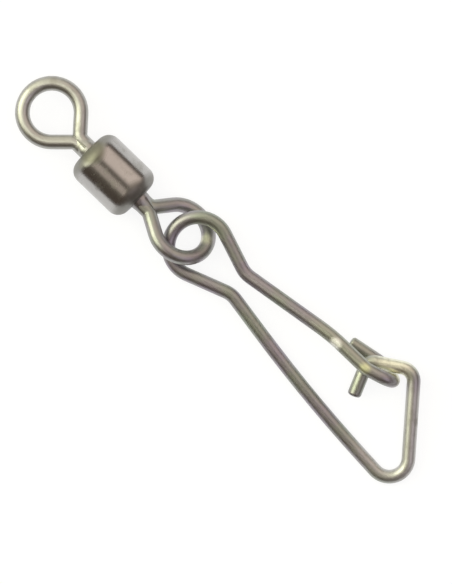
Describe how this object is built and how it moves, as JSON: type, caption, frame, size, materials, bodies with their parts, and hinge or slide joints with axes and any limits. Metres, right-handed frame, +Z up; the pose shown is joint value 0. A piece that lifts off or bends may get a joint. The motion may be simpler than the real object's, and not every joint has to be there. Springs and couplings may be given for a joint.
{
  "type": "fishing snap swivel",
  "caption": "Rolling fishing swivel: a rolled barrel carries a spinning line eye and a spinning snap eye, and a long wire snap with a hooked latch and a slanted end hangs in the snap eye.",
  "frame": {"origin": "on the table, under the middle of the whole swivel as it lies", "axes": "+X along the swivel's axis from the line eye towards the snap, +Z up off the table"},
  "size_m": [0.0503, 0.01, 0.0054],
  "materials": {
    "barrel_plate": "bright nickel plate, a little dulled",
    "eye_wire": "bright nickel plate on drawn wire",
    "snap_spring_wire": "bright nickel plate on drawn spring wire"
  },
  "bodies": {
    "barrel": {"barrel": "barrel_plate"},
    "line_eye": {"line_eye": "eye_wire"},
    "snap_eye": {"snap_eye": "eye_wire"},
    "snap": {"snap_wire": "snap_spring_wire"}
  },
  "joints": [
    {"name": "line_eye_spin", "type": "hinge", "parent": "barrel", "child": "line_eye", "pos_m": [-0.01371, -0.00153, 0.0027], "axis": [1, 0, 0], "continuous": true},
    {"name": "snap_eye_spin", "type": "hinge", "parent": "barrel", "child": "snap_eye", "pos_m": [-0.01371, -0.00153, 0.0027], "axis": [1, 0, 0], "continuous": true},
    {"name": "snap_swing", "type": "hinge", "parent": "snap_eye", "child": "snap", "pos_m": [-0.00561, -0.00098, 0.00242], "axis": [0, 0.766, 0.6428], "range_deg": [-130, 130]}
  ]
}
